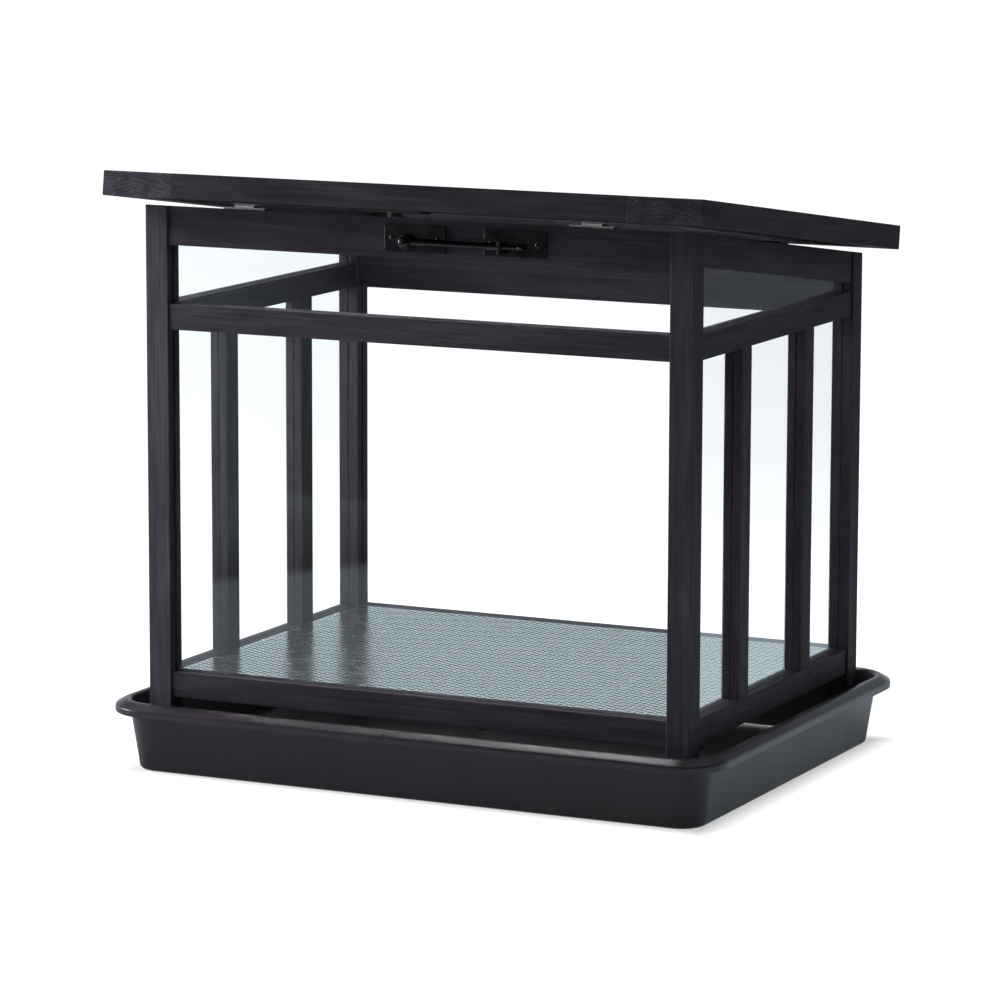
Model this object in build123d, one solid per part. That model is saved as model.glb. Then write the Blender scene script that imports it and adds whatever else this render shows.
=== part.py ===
from build123d import *
import math
import os

# Mini greenhouse: a stained timber frame with panes let into grooves, a sloping glazed lid hinged
# along the low rear side, a metal mesh floor, a swing-up prop rod for the lid and a drip tray below.
# Millimetres, +Z up, origin at the centre of the tray's underside, front (the tall side) towards -Y.

# Drip tray
side_margin = 13.5  # from the outside of a post to the outside of the tray's base, along the width
front_margin = 15.5  # the same along the depth, at the front and the rear
tray_height = 73.0
tray_draft = 11.5  # how far each wall leans out by the top
tray_wall = 2.5
tray_floor = 3.0
tray_corner = 26.0  # corner radius of the base in plan
tray_base_round = 5.0  # radius between wall and underside
rim_reach = 16.2  # from the wall's inner edge out to the lip
rim_land = 6.5  # the level part of the rim, next to the wall
rim_drop = 5.5  # from the level part down to the lip
rim_thickness = 2.5
rim_round = 2.4  # radius along the rim's inner edge and above its lip
lip_height = 7.3

# Timber frame
frame_width = 600.0
frame_depth = 442.0
post_size = 25.0
rail_thickness = 21.0
slat_width = 25.0
slat_spacing = 164.0  # between the centres of the two slats of a side
foot_height = 73.0  # from the tray's floor to the bottom rails
bottom_rail_height = 26.0
mid_rail_height = 26.0
front_top_rail_height = 40.0
rear_top_rail_height = 37.5
lower_window_height = 351.0
upper_window_height = 59.5  # at the front
rear_window_height = 8.5  # where a side's upper window ends at the rear post

# Joinery and glazing
tenon_thickness = 8.0
tenon_shoulder = 4.0
tenon_play = 0.2  # between a tenon's end and the bottom of its mortise
tenon_wall = 0.5  # timber left between two mortises that meet in a post
pane_thickness = 3.0
pane_bite = 5.0  # how far a pane's edge sits in its groove
pane_play = 0.25  # between a pane's faces and the groove's cheeks
pane_end_play = 1.0  # beyond a pane's upper and side edges

# Mesh floor and its ledgers
mesh_thickness = 2.0
mesh_border = 9.0
mesh_strand = 4.0
mesh_columns = 20
mesh_rows = 15
mesh_play = 0.5
ledger_size = 12.0

# Lid
lid_gap = 6.0  # air gap between the frame's sloping top and the lid
lid_thickness = 25.0
lid_front_overhang = 42.0
lid_side_overhang = 26.0
lid_stile_width = 80.0
lid_rail_width = 80.0
lid_tenon_length = 20.0
lid_tenon_shoulder = 12.0

# Hinges along the rear
hinge_inset = 110.0  # from the frame's side to the middle of a hinge
hinge_length = 50.0
hinge_knuckles = 3
hinge_leaf_depth = 17.0
hinge_leaf_thickness = 1.8
hinge_pin_radius = 1.2
hinge_play = 0.4  # between knuckles, and between barrel and lid
hinge_pin_play = 0.1

# Prop rod and its plates
prop_pivot_x = -6.0
prop_length = 128.0  # from the pivot to the rod's tip
prop_rod_radius = 3.1
prop_neck_radius = 2.3
prop_neck_length = 18.0
prop_eye_radius = 7.0
prop_eye_thickness = 7.0
prop_pin_radius = 3.0
prop_pin_head_radius = 5.5
prop_pin_head_thickness = 2.0
prop_play = 0.3
prop_pin_play = 0.1
prop_drop = 3.0  # the rod lies this far below the middle of its plates
plate_length = 66.0
plate_height = 26.0
plate_thickness = 2.0
pivot_plate_lead = 24.0  # from the plate's left end to the pivot
rest_plate_lead = 20.0  # from the plate's left end to the hook
rest_hook_width = 3.0
rest_hook_wall = 2.0
rest_hook_rise = 5.0  # the hook's outer wall stands this far above the rod's centre
rest_hook_base = 3.5
plate_screw_inset = 8.0

# Socket for the rod's tip, under the lid's front overhang
keeper_setback = 16.0  # from the lid's front edge to the socket's centre
keeper_plate_width = 24.0
keeper_boss_radius = 7.0
keeper_bore_radius = 4.2
keeper_boss_height = 5.0

# Magnetic catches in the gap above the front rail
catch_inset = 110.0  # from the frame's side to the middle of a catch
catch_length = 46.0
catch_depth = 14.0
catch_core_length = 22.0
catch_ear_thickness = 2.2
catch_screw_spacing = 35.0
strike_length = 24.0
strike_depth = 12.0
strike_thickness = 1.7
catch_play = 0.3

# Countersunk screw used for all the hardware
screw_radius = 1.5
screw_length = 14.0
screw_head_radius = 2.9
screw_head_depth = 1.4
screw_play = 0.1

# Heights, from the ground up
foot_z = tray_floor
bottom_rail_z = foot_z + foot_height
bottom_rail_top = bottom_rail_z + bottom_rail_height
mid_rail_z = bottom_rail_top + lower_window_height
mid_rail_top = mid_rail_z + mid_rail_height
front_rail_z = mid_rail_top + upper_window_height
front_top = front_rail_z + front_top_rail_height
rear_top = mid_rail_top + rear_top_rail_height

# Plan positions
half_width = frame_width / 2
half_depth = frame_depth / 2
post_inner_x = half_width - post_size
post_inner_y = half_depth - post_size
glass_x = half_width - post_size / 2
glass_y = half_depth - post_size / 2
rail_half = rail_thickness / 2
rail_inner_x = glass_x - rail_half
rail_inner_y = glass_y - rail_half
rail_face_y = -(glass_y + rail_half)
tenon_length = post_size / 2 - tenon_thickness / 2 - tenon_wall

# The sloping top of the frame: u runs along X, v down the slope to the rear, w square to it
roof_slope = (front_top - rear_top) / frame_depth
roof_angle = math.atan(roof_slope)
roof_cos = math.cos(roof_angle)
roof_sin = math.sin(roof_angle)
roof_length = frame_depth / roof_cos
roof = Plane(origin=(0, -half_depth, front_top), x_dir=(1, 0, 0), z_dir=(0, roof_sin, roof_cos)).location


def roof_z(y):
    """Height of the frame's sloping top at a place along the depth."""
    return front_top - roof_slope * (y + half_depth)


side_rail_drop = roof_z(post_inner_y) - mid_rail_top - rear_window_height


def bar(x0, x1, y0, y1, z0, z1):
    """A box between two corners, given in any order."""
    centre = Pos((x0 + x1) / 2, (y0 + y1) / 2, (z0 + z1) / 2)
    return centre * Box(abs(x1 - x0), abs(y1 - y0), abs(z1 - z0))


def side_slab(x, thickness, points):
    """A slab square to X with an outline of (y, z) points."""
    outline = Plane.YZ * Polygon(*points, align=None)
    return Pos(x - thickness / 2, 0, 0) * extrude(outline, thickness)


def rod_between(start, direction, length, radius):
    """A round rod from a start point."""
    return Plane(origin=start, z_dir=direction).location * Pos(0, 0, length / 2) * Cylinder(radius, length)


# Screws


def screw(grown=0.0):
    """A countersunk screw with its head's top at the origin, pointing down -Z."""
    head_depth = screw_head_depth
    head = Pos(0, 0, -head_depth / 2) * Cone(screw_radius + grown, screw_head_radius + grown, head_depth)
    shank_length = screw_length - head_depth + grown
    shank = Pos(0, 0, -head_depth - shank_length / 2) * Cylinder(screw_radius + grown, shank_length)
    return head + shank


def set_screws(places):
    """The screws at a list of places."""
    return [place * screw() for place in places]


def screw_holes(places):
    """Clearance holes for the screws at a list of places."""
    return [place * screw(screw_play) for place in places]


# Panes, and the pockets that they need in the timber


def pane_reach(grown):
    """How far a pane, or its pocket when grown, reaches into the timber at the top and sides."""
    return pane_bite + (pane_end_play if grown else 0.0)


def front_pane(y, z0, z1, grown=0.0):
    """A pane between the posts of the front or rear wall, filling an opening from z0 to z1."""
    reach = pane_reach(grown)
    half_x = post_inner_x + reach
    half_y = pane_thickness / 2 + grown
    return bar(-half_x, half_x, y - half_y, y + half_y, z0 - pane_bite, z1 + reach)


def side_pane(x, y0, y1, grown=0.0):
    """A lower side pane, filling an opening from y0 to y1."""
    reach = pane_reach(grown)
    half_x = pane_thickness / 2 + grown
    z0 = bottom_rail_top - pane_bite
    z1 = mid_rail_z + reach
    return bar(x - half_x, x + half_x, y0 - reach, y1 + reach, z0, z1)


def side_upper_pane(x, grown=0.0):
    """The tapering upper side pane under the sloping rail."""
    reach = pane_reach(grown)
    half_y = post_inner_y + reach
    lift = reach / roof_cos - side_rail_drop
    points = [
        (-half_y, mid_rail_top - pane_bite),
        (half_y, mid_rail_top - pane_bite),
        (half_y, roof_z(half_y) + lift),
        (-half_y, roof_z(-half_y) + lift),
    ]
    return side_slab(x, pane_thickness + 2 * grown, points)


slat_y = slat_spacing / 2
side_bays = {
    "front": (-post_inner_y, -slat_y - slat_width / 2),
    "centre": (-slat_y + slat_width / 2, slat_y - slat_width / 2),
    "rear": (slat_y + slat_width / 2, post_inner_y),
}
sides = {"left": -1, "right": 1}


def side_panes(sign, grown=0.0):
    """All panes of one side wall, by name."""
    panes = {"upper": side_upper_pane(sign * glass_x, grown)}
    for bay, (y0, y1) in side_bays.items():
        panes[f"lower_{bay}"] = side_pane(sign * glass_x, y0, y1, grown)
    return panes


front_pockets = [
    front_pane(-glass_y, bottom_rail_top, mid_rail_z, pane_play),
    front_pane(-glass_y, mid_rail_top, front_rail_z, pane_play),
]
rear_pockets = [front_pane(glass_y, bottom_rail_top, mid_rail_z, pane_play)]
side_pockets = {sign: list(side_panes(sign, pane_play).values()) for sign in sides.values()}

# Rails and slats with stub tenons on their ends


def cross_tenon(sign, y, z0, z1, play=0.0):
    """Tenon of a front or rear rail, reaching into the post on one side."""
    tip = sign * (post_inner_x + tenon_length + play)
    half_y = tenon_thickness / 2
    return bar(sign * post_inner_x, tip, y - half_y, y + half_y, z0 + tenon_shoulder, z1 - tenon_shoulder)


def cross_rail(y, z0, z1):
    """A front or rear rail between two posts, with its tenons."""
    body = bar(-post_inner_x, post_inner_x, y - rail_half, y + rail_half, z0, z1)
    return body + cross_tenon(-1, y, z0, z1) + cross_tenon(1, y, z0, z1)


def side_tenon(x, end, z0, z1, play=0.0):
    """Tenon of a level side rail, reaching into the front or rear post."""
    tip = end * (post_inner_y + tenon_length + play)
    half_x = tenon_thickness / 2
    return bar(x - half_x, x + half_x, end * post_inner_y, tip, z0 + tenon_shoulder, z1 - tenon_shoulder)


def side_rail(x, z0, z1):
    """A level side rail between the front and rear posts, with its tenons."""
    body = bar(x - rail_half, x + rail_half, -post_inner_y, post_inner_y, z0, z1)
    return body + side_tenon(x, -1, z0, z1) + side_tenon(x, 1, z0, z1)


def sloping_slab(x, thickness, y0, y1, lower, upper):
    """Part of a side's sloping top rail, between two drops below the frame's top."""
    points = [(y, roof_z(y) - lower) for y in (y0, y1)]
    points += [(y, roof_z(y) - upper) for y in (y1, y0)]
    return side_slab(x, thickness, points)


def sloping_tenon(x, end, play=0.0):
    """Tenon of a sloping top rail, reaching into the front or rear post."""
    ends = sorted([end * post_inner_y, end * (post_inner_y + tenon_length + play)])
    return sloping_slab(x, tenon_thickness, *ends, side_rail_drop - tenon_shoulder, tenon_shoulder)


def sloping_rail(x):
    """A side's sloping top rail, with its tenons."""
    body = sloping_slab(x, rail_thickness, -post_inner_y, post_inner_y, side_rail_drop, 0.0)
    return body + sloping_tenon(x, -1) + sloping_tenon(x, 1)


def slat_tenon(x, y, end, play=0.0):
    """Tenon of a slat, reaching down into the bottom rail or up into the mid rail."""
    half_x = tenon_thickness / 2
    half_y = slat_width / 2 - tenon_shoulder
    root = bottom_rail_top if end < 0 else mid_rail_z
    return bar(x - half_x, x + half_x, y - half_y, y + half_y, root, root + end * (tenon_length + play))


def slat(x, y):
    """An upright slat between a side's bottom and mid rails."""
    half_y = slat_width / 2
    body = bar(x - rail_half, x + rail_half, y - half_y, y + half_y, bottom_rail_top, mid_rail_z)
    return body + slat_tenon(x, y, -1) + slat_tenon(x, y, 1)


def above_roof():
    """Everything above the frame's sloping top, to trim posts and rails to it."""
    size = 2 * (frame_width + frame_depth)
    return roof * Pos(0, 0, size / 2) * Box(size, size, size)


def post(sign, end):
    """A corner post: its foot, two sets of mortises, pane grooves and the sloping top."""
    x = sign * glass_x
    y = end * glass_y
    outer_x = sign * half_width
    outer_y = end * half_depth
    body = bar(sign * post_inner_x, outer_x, end * post_inner_y, outer_y, foot_z, front_top)
    level_spans = [(bottom_rail_z, bottom_rail_top), (mid_rail_z, mid_rail_top)]
    top_span = (front_rail_z if end < 0 else mid_rail_top, top_rail_low_edge(y))
    mortises = [cross_tenon(sign, y, z0, z1, tenon_play) for z0, z1 in [*level_spans, top_span]]
    mortises += [side_tenon(x, end, z0, z1, tenon_play) for z0, z1 in level_spans]
    mortises.append(sloping_tenon(x, end, tenon_play))
    pockets = front_pockets if end < 0 else rear_pockets
    return body - above_roof() - mortises - pockets - side_pockets[sign]


def top_rail_low_edge(y):
    """Height of the lower arris of a front or rear top rail's sloping top."""
    return roof_z(y + rail_half)


def top_rail(y, z0):
    """The front or rear top rail, trimmed to the slope, with its tenons."""
    body = bar(-post_inner_x, post_inner_x, y - rail_half, y + rail_half, z0, front_top)
    tenons = [cross_tenon(sign, y, z0, top_rail_low_edge(y)) for sign in sides.values()]
    return body - above_roof() + tenons


# Hinge geometry on the slope
hinge_axis_w = lid_gap / 2
hinge_barrel_radius = lid_gap / 2 - hinge_play
hinge_axis_v = roof_length + hinge_barrel_radius + hinge_play
hinge_leaf_rear = hinge_axis_v - hinge_barrel_radius - hinge_play
rear_rail_v = (half_depth + glass_y) / roof_cos
hinge_leaf_front = rear_rail_v - hinge_leaf_depth / 2
hinge_screw_v = rear_rail_v
knuckle_length = hinge_length / hinge_knuckles
hinge_centres = [hinge_inset - half_width, half_width - hinge_inset]
hinge_screws_u = [u + offset for u in hinge_centres for offset in (-knuckle_length, knuckle_length)]
hinge_frame_screws = [roof * Pos(u, hinge_screw_v, hinge_leaf_thickness) for u in hinge_screws_u]
lid_leaf_face = lid_gap - hinge_leaf_thickness
face_up = Rot(180, 0, 0)  # turns a screw to point up
hinge_lid_screws = [roof * Pos(u, hinge_screw_v, lid_leaf_face) * face_up for u in hinge_screws_u]

# Prop plate places on the front rail's face
plate_z = front_rail_z + front_top_rail_height / 2
plate_face_y = rail_face_y - plate_thickness
prop_y = plate_face_y - prop_play - prop_eye_thickness / 2
prop_z = plate_z - prop_drop
pivot_plate_x = prop_pivot_x - pivot_plate_lead
rest_hook_x = prop_pivot_x + prop_length - prop_neck_length - 2 * prop_rod_radius
rest_plate_x = rest_hook_x - rest_plate_lead
face_front = Rot(90, 0, 0)  # turns a screw to point into the front rail
plate_screws = [
    Pos(x + offset, plate_face_y, plate_z) * face_front
    for x in (pivot_plate_x, rest_plate_x)
    for offset in (plate_screw_inset, plate_length - plate_screw_inset)
]

# Catch and keeper places on the slope
catch_v = (half_depth - glass_y) / roof_cos
catch_height = lid_gap - strike_thickness - catch_play
catch_centres = {"left": catch_inset - half_width, "right": half_width - catch_inset}
catch_screws = [
    roof * Pos(u + offset, catch_v, catch_ear_thickness)
    for u in catch_centres.values()
    for offset in (-catch_screw_spacing / 2, catch_screw_spacing / 2)
]
strike_face = lid_gap - strike_thickness
strike_screws = [roof * Pos(u, catch_v, strike_face) * face_up for u in catch_centres.values()]
keeper_v = keeper_setback - lid_front_overhang
keeper_screw_offset = plate_length / 2 - plate_screw_inset
keeper_screws = [
    roof * Pos(prop_pivot_x + offset, keeper_v, lid_gap - plate_thickness) * face_up
    for offset in (-keeper_screw_offset, keeper_screw_offset)
]
frame_screws = hinge_frame_screws + plate_screws + catch_screws
lid_screws = hinge_lid_screws + strike_screws + keeper_screws

# Drip tray


def tray_ring(grown, z):
    """A rounded rectangle at a height, grown outwards from the tray's base outline."""
    width = frame_width + 2 * (side_margin + grown)
    depth = frame_depth + 2 * (front_margin + grown)
    return Pos(0, 0, z) * RectangleRounded(width, depth, tray_corner + grown)


def tapered(grown0, z0, grown1, z1):
    """A solid with straight sides between two rings."""
    return loft([tray_ring(grown0, z0), tray_ring(grown1, z1)], ruled=True)


def drip_tray():
    """The tray: leaning walls, a rounded base edge, and a rim that falls away to a lip."""
    body = tapered(0.0, 0.0, tray_draft, tray_height)
    body = fillet(body.faces().sort_by(Axis.Z)[0].edges(), tray_base_round)
    inner_edge = tray_draft - tray_wall
    land_edge = inner_edge + rim_land
    outer_edge = inner_edge + rim_reach
    arris_z = tray_height - rim_drop
    lip_z = arris_z - lip_height
    rim = tapered(outer_edge, arris_z, land_edge, tray_height)
    rim += tapered(outer_edge, lip_z, outer_edge, arris_z)
    under_edge = outer_edge - rim_thickness
    hollow = tapered(under_edge, arris_z - rim_thickness, land_edge, tray_height - rim_thickness)
    hollow += tapered(under_edge, lip_z, under_edge, arris_z - rim_thickness)
    floor_edge = tray_draft * tray_floor / tray_height - tray_wall
    basin = tapered(floor_edge, tray_floor, inner_edge, tray_height)
    tray = body + (rim - hollow) - basin
    land = tray.faces().sort_by(Axis.Z)[-1]
    same_level = 0.01
    arris = tray.edges().filter_by_position(Axis.Z, arris_z - same_level, arris_z + same_level)
    return fillet(land.inner_wires()[0].edges() + arris, rim_round)


# Mesh floor


def mesh_floor():
    """The mesh panel that lies on the ledgers, level with the bottom rails' tops."""
    half_x = min(post_inner_x, rail_inner_x) - mesh_play
    half_y = min(post_inner_y, rail_inner_y) - mesh_play
    pitch_x = (2 * (half_x - mesh_border) + mesh_strand) / mesh_columns
    pitch_y = (2 * (half_y - mesh_border) + mesh_strand) / mesh_rows
    gap = Rectangle(pitch_x - mesh_strand, pitch_y - mesh_strand)
    sheet = Rectangle(2 * half_x, 2 * half_y)
    sheet -= [place * gap for place in GridLocations(pitch_x, pitch_y, mesh_columns, mesh_rows)]
    return Pos(0, 0, bottom_rail_top - mesh_thickness) * extrude(sheet, mesh_thickness)


def ledgers():
    """Four strips inside the bottom rails that carry the mesh."""
    top = bottom_rail_top - mesh_thickness
    z0 = top - ledger_size
    long_half = min(post_inner_x, rail_inner_x)
    inner_y = rail_inner_y - ledger_size
    inner_x = rail_inner_x - ledger_size
    return {
        "front_ledger": bar(-long_half, long_half, -rail_inner_y, -inner_y, z0, top),
        "rear_ledger": bar(-long_half, long_half, inner_y, rail_inner_y, z0, top),
        "left_ledger": bar(-rail_inner_x, -inner_x, -inner_y, inner_y, z0, top),
        "right_ledger": bar(inner_x, rail_inner_x, -inner_y, inner_y, z0, top),
    }


# Lid, laid out on the slope
lid_half = half_width + lid_side_overhang
lid_front = -lid_front_overhang
lid_top = lid_gap + lid_thickness
# The rear edge puts the lid's middle over the frame's middle in plan
lid_rear = roof_length + lid_front_overhang - (lid_gap + lid_top) * roof_slope
lid_inner_u = lid_half - lid_stile_width
lid_opening_v = (lid_front + lid_rail_width, lid_rear - lid_rail_width)
lid_mid_w = lid_gap + lid_thickness / 2


def lid_pane(grown=0.0):
    """The lid's pane, let into grooves all round."""
    reach = pane_reach(grown)
    half_w = pane_thickness / 2 + grown
    v0, v1 = lid_opening_v
    half_u = lid_inner_u + reach
    return roof * bar(-half_u, half_u, v0 - reach, v1 + pane_bite, lid_mid_w - half_w, lid_mid_w + half_w)


def lid_tenon(sign, v0, v1, play=0.0):
    """Tenon of a lid rail, reaching into a stile."""
    half_w = tenon_thickness / 2
    tip = sign * (lid_inner_u + lid_tenon_length + play)
    w0, w1 = lid_mid_w - half_w, lid_mid_w + half_w
    return roof * bar(sign * lid_inner_u, tip, v0 + lid_tenon_shoulder, v1 - lid_tenon_shoulder, w0, w1)


lid_rails = {
    "lid_front_rail": (lid_front, lid_front + lid_rail_width),
    "lid_rear_rail": (lid_rear - lid_rail_width, lid_rear),
}


def lid_rail(v0, v1):
    """A lid rail between the stiles."""
    body = roof * bar(-lid_inner_u, lid_inner_u, v0, v1, lid_gap, lid_top)
    body += lid_tenon(-1, v0, v1)
    body += lid_tenon(1, v0, v1)
    return body - lid_pane(pane_play) - screw_holes(lid_screws)


def lid_stile(sign):
    """A lid stile, running the whole way from front to rear."""
    body = roof * bar(sign * lid_inner_u, sign * lid_half, lid_front, lid_rear, lid_gap, lid_top)
    mortises = [lid_tenon(sign, v0, v1, tenon_play) for v0, v1 in lid_rails.values()]
    return body - mortises - lid_pane(pane_play) - screw_holes(lid_screws)


# Hinges


def hinge_round(u0, u1, radius):
    """A rod on the hinge axis between two places along it."""
    return rod_between((u0, hinge_axis_v, hinge_axis_w), (1, 0, 0), u1 - u0, radius)


def hinge_leaf(u, w0, w1, spans, screws):
    """A hinge leaf between two heights over the slope, with bored knuckles over the given spans."""
    half = hinge_length / 2
    leaf = bar(u - half, u + half, hinge_leaf_front, hinge_leaf_rear, w0, w1)
    for u0, u1 in spans:
        leaf += bar(u0, u1, hinge_leaf_rear, hinge_axis_v, w0, w1)
        leaf += hinge_round(u0, u1, hinge_barrel_radius)
    leaf -= hinge_round(u - half, u + half, hinge_pin_radius + hinge_pin_play)
    return (roof * leaf) - screw_holes(screws)


def frame_hinge_leaf(u):
    """The leaf on the rear rail, with the two outer knuckles."""
    half = hinge_length / 2
    inner = knuckle_length / 2 + hinge_play / 2
    spans = [(u - half, u - inner), (u + inner, u + half)]
    return hinge_leaf(u, 0.0, hinge_leaf_thickness, spans, hinge_frame_screws)


def lid_hinge_leaf(u):
    """The leaf under the lid, with the middle knuckle."""
    inner = knuckle_length / 2 - hinge_play / 2
    return hinge_leaf(u, lid_leaf_face, lid_gap, [(u - inner, u + inner)], hinge_lid_screws)


def hinge_pin(u):
    """A hinge pin, as long as its barrel."""
    return roof * hinge_round(u - hinge_length / 2, u + hinge_length / 2, hinge_pin_radius)


# Prop rod and its hardware


def front_plate(x):
    """A plate screwed to the front top rail."""
    half = plate_height / 2
    body = bar(x, x + plate_length, plate_face_y, rail_face_y, plate_z - half, plate_z + half)
    return body - screw_holes(plate_screws)


def prop_pin():
    """The headed pin that the rod's eye turns on."""
    outwards = (0, -1, 0)
    shank_length = prop_eye_thickness + 2 * prop_play
    shank = rod_between((prop_pivot_x, plate_face_y, prop_z), outwards, shank_length, prop_pin_radius)
    head_start = (prop_pivot_x, plate_face_y - shank_length, prop_z)
    head = rod_between(head_start, outwards, prop_pin_head_thickness, prop_pin_head_radius)
    outer_edge = head.faces().sort_by(Axis.Y)[0].edges()
    return shank + fillet(outer_edge, prop_pin_head_thickness / 2)


def prop_rod():
    """The rod: a flat-sided eye, the shank, a thinner neck and a ball tip."""
    eye_start = (prop_pivot_x, prop_y + prop_eye_thickness / 2, prop_z)
    eye = rod_between(eye_start, (0, -1, 0), prop_eye_thickness, prop_eye_radius)
    bore = rod_between(eye_start, (0, -1, 0), prop_eye_thickness, prop_pin_radius + prop_pin_play)
    ball_x = prop_pivot_x + prop_length - prop_rod_radius
    neck_x = ball_x - prop_neck_length
    shank = rod_between((prop_pivot_x, prop_y, prop_z), (1, 0, 0), neck_x - prop_pivot_x, prop_rod_radius)
    neck = rod_between((neck_x, prop_y, prop_z), (1, 0, 0), prop_neck_length, prop_neck_radius)
    ball = Pos(ball_x, prop_y, prop_z) * Sphere(prop_rod_radius)
    return eye + shank + neck + ball - bore


def prop_rest_plate():
    """The right-hand plate with the hook that the stowed rod lies in."""
    x0 = rest_hook_x - rest_hook_width / 2
    x1 = rest_hook_x + rest_hook_width / 2
    seat = prop_rod_radius + prop_play
    wall_y = prop_y - seat - rest_hook_wall
    base_z = prop_z - seat - rest_hook_base
    hook = bar(x0, x1, plate_face_y, wall_y, base_z, prop_z + rest_hook_rise)
    slot_top = prop_z + rest_hook_rise
    hook -= bar(x0, x1, plate_face_y, prop_y - seat, prop_z, slot_top)
    hook -= rod_between((x0, prop_y, prop_z), (1, 0, 0), rest_hook_width, seat)
    return front_plate(rest_plate_x) + hook


def lid_keeper():
    """The plate and socket under the lid's front overhang that the raised rod's tip stands in."""
    half_u = plate_length / 2
    half_v = keeper_plate_width / 2
    plate_w = lid_gap - plate_thickness
    plate = bar(-half_u, half_u, -half_v, half_v, plate_w, lid_gap)
    boss_w = plate_w - keeper_boss_height
    boss = rod_between((0, 0, boss_w), (0, 0, 1), keeper_boss_height, keeper_boss_radius)
    bore = rod_between((0, 0, boss_w), (0, 0, 1), lid_gap - boss_w, keeper_bore_radius)
    return (roof * Pos(prop_pivot_x, keeper_v, 0) * (plate + boss - bore)) - screw_holes(keeper_screws)


# Magnetic catches


def magnet_catch(u):
    """A slim magnetic catch on the front rail: a core with two screwed ears."""
    half_v = catch_depth / 2
    ear_half = catch_length / 2
    core_half = catch_core_length / 2
    ears = bar(-ear_half, ear_half, -half_v, half_v, 0, catch_ear_thickness)
    core = bar(-core_half, core_half, -half_v, half_v, 0, catch_height)
    return (roof * Pos(u, catch_v, 0) * (ears + core)) - screw_holes(catch_screws)


def strike_plate(u):
    """The steel plate under the lid that a catch pulls on."""
    half_u = strike_length / 2
    half_v = strike_depth / 2
    w0 = lid_gap - strike_thickness
    plate = roof * bar(u - half_u, u + half_u, catch_v - half_v, catch_v + half_v, w0, lid_gap)
    return plate - screw_holes(strike_screws)


# The nodes
nodes = {"drip_tray": drip_tray(), "mesh_floor": mesh_floor(), **ledgers()}

for side, sign in sides.items():
    nodes[f"front_{side}_post"] = post(sign, -1)
    nodes[f"rear_{side}_post"] = post(sign, 1)

front_holes = screw_holes(plate_screws + catch_screws)
nodes["front_top_rail"] = top_rail(-glass_y, front_rail_z) - front_pockets - front_holes
nodes["front_mid_rail"] = cross_rail(-glass_y, mid_rail_z, mid_rail_top) - front_pockets
nodes["front_bottom_rail"] = cross_rail(-glass_y, bottom_rail_z, bottom_rail_top) - front_pockets

nodes["rear_top_rail"] = top_rail(glass_y, mid_rail_top) - screw_holes(hinge_frame_screws)
nodes["rear_mid_rail"] = cross_rail(glass_y, mid_rail_z, mid_rail_top) - rear_pockets
nodes["rear_bottom_rail"] = cross_rail(glass_y, bottom_rail_z, bottom_rail_top) - rear_pockets

for side, sign in sides.items():
    x = sign * glass_x
    pockets = side_pockets[sign]
    slat_ends = {"front": -slat_y, "rear": slat_y}
    feet = [slat_tenon(x, y, -1, tenon_play) for y in slat_ends.values()]
    heads = [slat_tenon(x, y, 1, tenon_play) for y in slat_ends.values()]
    nodes[f"{side}_top_rail"] = sloping_rail(x) - pockets
    nodes[f"{side}_mid_rail"] = side_rail(x, mid_rail_z, mid_rail_top) - pockets - heads
    nodes[f"{side}_bottom_rail"] = side_rail(x, bottom_rail_z, bottom_rail_top) - pockets - feet
    for place, y in slat_ends.items():
        nodes[f"{side}_{place}_slat"] = slat(x, y) - pockets
    for name, pane in side_panes(sign).items():
        nodes[f"{side}_{name}_pane"] = pane

nodes["front_lower_pane"] = front_pane(-glass_y, bottom_rail_top, mid_rail_z)
nodes["front_upper_pane"] = front_pane(-glass_y, mid_rail_top, front_rail_z)
nodes["rear_pane"] = front_pane(glass_y, bottom_rail_top, mid_rail_z)

for name, (v0, v1) in lid_rails.items():
    nodes[name] = lid_rail(v0, v1)
for side, sign in sides.items():
    nodes[f"lid_{side}_stile"] = lid_stile(sign)
nodes["lid_pane"] = lid_pane()

for side, u in zip(sides, hinge_centres):
    nodes[f"{side}_hinge_frame_leaf"] = frame_hinge_leaf(u)
    nodes[f"{side}_hinge_lid_leaf"] = lid_hinge_leaf(u)
nodes["hinge_pins"] = Compound(children=[hinge_pin(u) for u in hinge_centres])

nodes["prop_pivot_plate"] = front_plate(pivot_plate_x)
nodes["prop_pivot_pin"] = prop_pin()
nodes["prop_rest_plate"] = prop_rest_plate()
nodes["prop_rod"] = prop_rod()
nodes["lid_keeper"] = lid_keeper()

for side, u in catch_centres.items():
    nodes[f"{side}_magnet_catch"] = magnet_catch(u)
    nodes[f"{side}_strike_plate"] = strike_plate(u)

nodes["frame_hardware_screws"] = Compound(children=set_screws(frame_screws))
nodes["lid_hardware_screws"] = Compound(children=set_screws(lid_screws))

os.makedirs("parts", exist_ok=True)
for name, shape in nodes.items():
    export_step(shape, f"parts/{name}.step")
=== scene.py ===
"""Looks for a mini greenhouse: dark stained timber, clear panes, a metal mesh floor and a drip tray.

Metres, +Z up, the tall front side towards -Y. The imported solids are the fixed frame: a node whose shape
is right keeps it and gets a finish here, and the others are stood for by finer pieces.
"""

import logging
import math
import random
from dataclasses import dataclass, field
from enum import Enum
from typing import Any, Sequence

import bmesh
import bpy
import numpy
from mathutils import Matrix, Vector


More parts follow.
